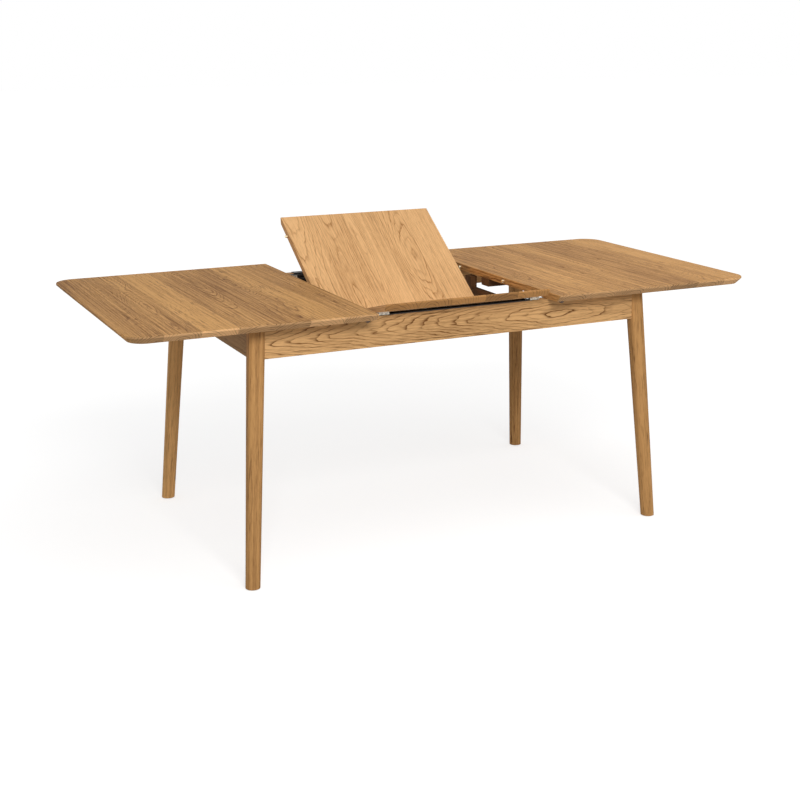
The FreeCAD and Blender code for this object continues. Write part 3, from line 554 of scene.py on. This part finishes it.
# %% Aprons and legs
APRONS = {
    "apron_front": ((0, -1, 0), FRONT_OAK_WITH_PAINTED_SHADE),
    "apron_back": ((0, 1, 0), APRON_OAK),
    # the left apron takes the darker kind, which is painted shade
    "apron_left": ((-1, 0, 0), SHADED_OAK),
    "apron_right": ((1, 0, 0), APRON_OAK),
}
LEGS = {
    "leg_front_left": LEG_OAK,
    "leg_front_right": LEG_OAK,
    # the back legs take paler kinds of the leg oak, which are painted light
    "leg_back_left": BACK_LEFT_LEG_PAINTED_LIGHT_OAK,
    "leg_back_right": BACK_RIGHT_LEG_PAINTED_LIGHT_OAK,
}
APRON_SEED, APRON_STEP = 31.0, 7.0
LEG_SEED, LEG_STEP = 61.0, 5.0
LEG_LEAN = Vector((0.0525, 0.0602, 0.7275))
LEG_ASIDE = Vector((0.1, 0, 0))


def middle(name):
    low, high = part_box(name)
    return (low + high) / 2


def dress_aprons():
    for number, (name, (out, kind)) in enumerate(APRONS.items()):
        along = (1, 0, 0) if out[0] == 0 else (0, 1, 0)
        low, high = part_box(name)
        face = middle(name) + Vector(out) * (high - low) * 0.5
        face = face - Vector((0, 0, BOARD_WIDTH / 2))
        dress(oak("oak_" + name, along, out, face, kind, APRON_SEED + number * APRON_STEP), name)


def dress_legs():
    for number, (name, kind) in enumerate(LEGS.items()):
        inward_x = -1.0 if middle(name).x > 0 else 1.0
        inward_y = -1.0 if middle(name).y > 0 else 1.0
        along = LEG_LEAN * Vector((inward_x, inward_y, 1.0))
        face = middle(name) + LEG_ASIDE
        dress(oak("oak_" + name, along, (0, -1, 0), face, kind, LEG_SEED + number * LEG_STEP), name)


dress_aprons()
dress_legs()
print("in oak:", ", ".join([*APRONS, *LEGS]))

# %% [markdown]
# Inside the table are two rails that cross it, battens that run along it, and upright posts and
# corner blocks. Each rail and batten has its own piece of the pattern. The posts and blocks are
# short and lie in the dark, so one material serves them all. All of them take the inner oak, whose dark
# colours are painted shade.

# %% Rails, battens and posts
BATTEN_SEED, BATTEN_STEP = 91.0, 3.0
UPRIGHT_SEED = 120.0
UPRIGHT_START = (0, 0, 0.7)


def dress_battens():
    cross = [name for name in NODES if name.startswith("cross_rail")]
    long = [name for name in NODES if name.startswith(("storage_batten", "top_rib"))]
    for number, name in enumerate(sorted(cross + long)):
        along = (0, 1, 0) if name in cross else (1, 0, 0)
        out = (1, 0, 0) if name in cross else (0, 0, -1)
        seed = BATTEN_SEED + number * BATTEN_STEP
        dress(oak("oak_" + name, along, out, middle(name), INNER_OAK_PAINTED_SHADE, seed), name)
    print("rails and battens:", len(cross + long))


def dress_uprights():
    upright = oak("oak_upright", (0, 0, 1), (0, -1, 0), UPRIGHT_START, INNER_OAK_PAINTED_SHADE, UPRIGHT_SEED)
    dress(upright, "corner_blocks", "leaf_posts")


dress_battens()
dress_uprights()

# %% [markdown]
# The hardware: runners, saddles, pivot arms and screws are zinc plated, a dull grey metal with
# faint mottling, and the alignment pins have a warmer plating. The rails and the leaf locks are
# painted black, the hinges on the fold are brass, the pads and the foot glides are rubber, and the
# storage battens carry strips of felt. Each could have a recipe of its own, but they are small and
# all of them are mottled, so one recipe serves: noise mottles the colour and the gloss, and finer
# noise gives a slight relief.

# %% Finish of the hardware
MOTTLE_DETAIL = 4.0
MOTTLE_ROUGHNESS = 0.6
WEAR_RANGE = (0.35, 0.7)
GLOSS_RANGE = (0.2, 0.8)
SMOOTHER, ROUGHER = 0.07, 0.1
FINER = 12.0
FINE_DETAIL = 2.0
FINE_STRENGTH = 0.25
FINE_DEPTH = 0.0001


def mottled(name, colour, worn, roughness, mottles, metallic=1.0):
    """A finish that mottles between two colours, with so many mottles in a metre."""
    material, tree, shader = new_material(name)
    where = add_node(tree, "TexCoord").outputs["Object"]
    place = add_node(tree, "Mapping", {"Vector": where}).outputs[0]
    mottle = noise(tree, place, mottles, MOTTLE_DETAIL, MOTTLE_ROUGHNESS)
    wear = stretch(tree, mottle, *WEAR_RANGE)
    gloss = stretch(tree, mottle, *GLOSS_RANGE, roughness - SMOOTHER, roughness + ROUGHER)
    fine = noise(tree, place, mottles * FINER, FINE_DETAIL)
    bump = add_node(tree, "Bump", {"Height": fine, "Strength": FINE_STRENGTH, "Distance": FINE_DEPTH})
    feed(tree, shader.inputs["Base Color"], blend_colours(tree, wear, colour, worn))
    feed(tree, shader.inputs["Roughness"], gloss)
    feed(tree, shader.inputs["Normal"], bump.outputs[0])
    shader.inputs["Metallic"].default_value = metallic
    return material


print("fine relief of the hardware:", FINE_DEPTH, "m")

# %% [markdown]
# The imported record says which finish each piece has, so nothing has to be listed by hand. Only
# the alignment pins are named, for their warmer plating.


# %% Hardware
def dress_hardware():
    zinc = mottled("zinc_plate", linear(228, 222, 208), linear(150, 146, 138), 0.3, 160.0)
    black = mottled("black_paint", linear(30, 30, 32), linear(44, 44, 46), 0.42, 140.0, 0.0)
    brass = mottled("brass_pin", linear(200, 166, 96), linear(178, 142, 76), 0.3, 110.0)
    rubber = mottled("black_rubber", linear(24, 24, 25), linear(38, 38, 39), 0.7, 220.0, 0.0)
    felt = mottled("felt_pile", linear(74, 70, 66), linear(96, 92, 88), 0.88, 900.0, 0.0)
    slots = {"zinc": zinc, "black_steel": black, "brass": brass, "black_rubber": rubber, "felt": felt}
    fitted = [piece for piece in frame["record"]["subparts"] if piece["material_slot"] in slots]
    for piece in fitted:
        dress(slots[piece["material_slot"]], piece["node"])
    print("hardware pieces:", len(fitted))


def dress_pins():
    pins = [name for name in NODES if name.startswith("align_pin")]
    dress(mottled("warm_zinc", linear(250, 234, 200), linear(206, 184, 142), 0.3, 160.0), *pins)
    print("alignment pins:", len(pins))


dress_hardware()
dress_pins()

# %% [markdown]
# A pale studio starts with a wide white floor. More light could make it white, but it would also
# bleach the wood. So the floor glows a little, for the camera and for reflections only: less near
# the table, where the lamps light it, and more far off, where they don't reach. It is white up to
# the horizon and still takes the table's own soft shadow. From below it is clear, so that the
# underside of the table can be looked at.

# %% Floor
FLOOR_SIZE = 60.0
FLOOR_COLOUR = (0.6, 0.6, 0.6, 1.0)
FLOOR_ROUGHNESS = 0.9
WHITE = (1.0, 1.0, 1.0, 1.0)
LAMP_REACH = (1.0, 3.5)
FLOOR_GLOW = (0.63, 0.78)


def seen_directly(tree):
    path = add_node(tree, "LightPath").outputs
    seen = maths(tree, "MAXIMUM", path["Is Camera Ray"], path["Is Glossy Ray"])
    return maths(tree, "MAXIMUM", seen, path["Is Transmission Ray"])


def floor_material():
    material, tree, shader = new_material("pale_floor")
    shader.inputs["Base Color"].default_value = FLOOR_COLOUR
    shader.inputs["Roughness"].default_value = FLOOR_ROUGHNESS
    shader.inputs["Specular IOR Level"].default_value = 0.0
    where = add_node(tree, "TexCoord").outputs["Object"]
    place = add_node(tree, "Mapping", {"Vector": where}).outputs[0]
    away = add_node(tree, "VectorMath", {0: place}, operation="LENGTH").outputs["Value"]
    share = stretch(tree, away, *LAMP_REACH, *FLOOR_GLOW)
    strength = maths(tree, "MULTIPLY", seen_directly(tree), share)
    glow = add_node(tree, "Emission", {"Color": WHITE, "Strength": strength})
    both = add_node(tree, "AddShader", {0: shader.outputs[0], 1: glow.outputs[0]})
    below = add_node(tree, "NewGeometry").outputs["Backfacing"]
    clear = add_node(tree, "BsdfTransparent")
    top_only = add_node(tree, "MixShader", {0: below, 1: both.outputs[0], 2: clear.outputs[0]})
    feed(tree, tree.nodes["Material Output"].inputs["Surface"], top_only.outputs[0])
    return material


def add_floor():
    bpy.ops.mesh.primitive_plane_add(size=FLOOR_SIZE, location=(0, 0, 0))
    floor = bpy.context.object
    floor.name = "studio_floor"
    floor.data.materials.append(floor_material())
    print("floor:", FLOOR_SIZE, "m wide")


add_floor()

# %% [markdown]
# Around it all is an even white surround, plain white to the camera and in reflections, and dimmer
# as a light. Two large lamps do the rest. Bare bulbs would throw hard shadows, so both are
# softboxes: a weak one overhead, and a strong one in front, which also reaches the aprons and legs.

# %% Surround and lamps
SURROUND_LIGHT = 0.4
SOFTBOXES = {
    "overhead_softbox": {"place": (1.2, -0.8, 3.6), "aim": (0.2, 0.0, 0.7),
                         "size": (3.2, 2.4), "watts": 26.0},
    "front_softbox": {"place": (-1.2, -4.4, 3.3), "aim": (0.0, 0.0, 0.6),
                      "size": (2.4, 1.6), "watts": 138.0},
}


def add_surround():
    world = bpy.data.worlds.new("studio")
    world.use_nodes = True
    bpy.context.scene.world = world
    tree = world.node_tree
    back = tree.nodes["Background"]
    back.inputs["Color"].default_value = WHITE
    feed(tree, back.inputs["Strength"], stretch(tree, seen_directly(tree), 0.0, 1.0, SURROUND_LIGHT, 1.0))


def add_softbox(name, place, aim, size, watts):
    data = bpy.data.lights.new(name, "AREA")
    data.shape = "RECTANGLE"
    data.size, data.size_y = size
    data.energy = watts
    lamp = bpy.data.objects.new(name, data)
    lamp.location = place
    lamp.rotation_euler = (Vector(aim) - Vector(place)).to_track_quat("-Z", "Y").to_euler()
    bpy.context.scene.collection.objects.link(lamp)


add_surround()
for name, softbox in SOFTBOXES.items():
    add_softbox(name, **softbox)
bpy.context.scene.view_settings.view_transform = "Standard"
print("lamps:", ", ".join(SOFTBOXES))
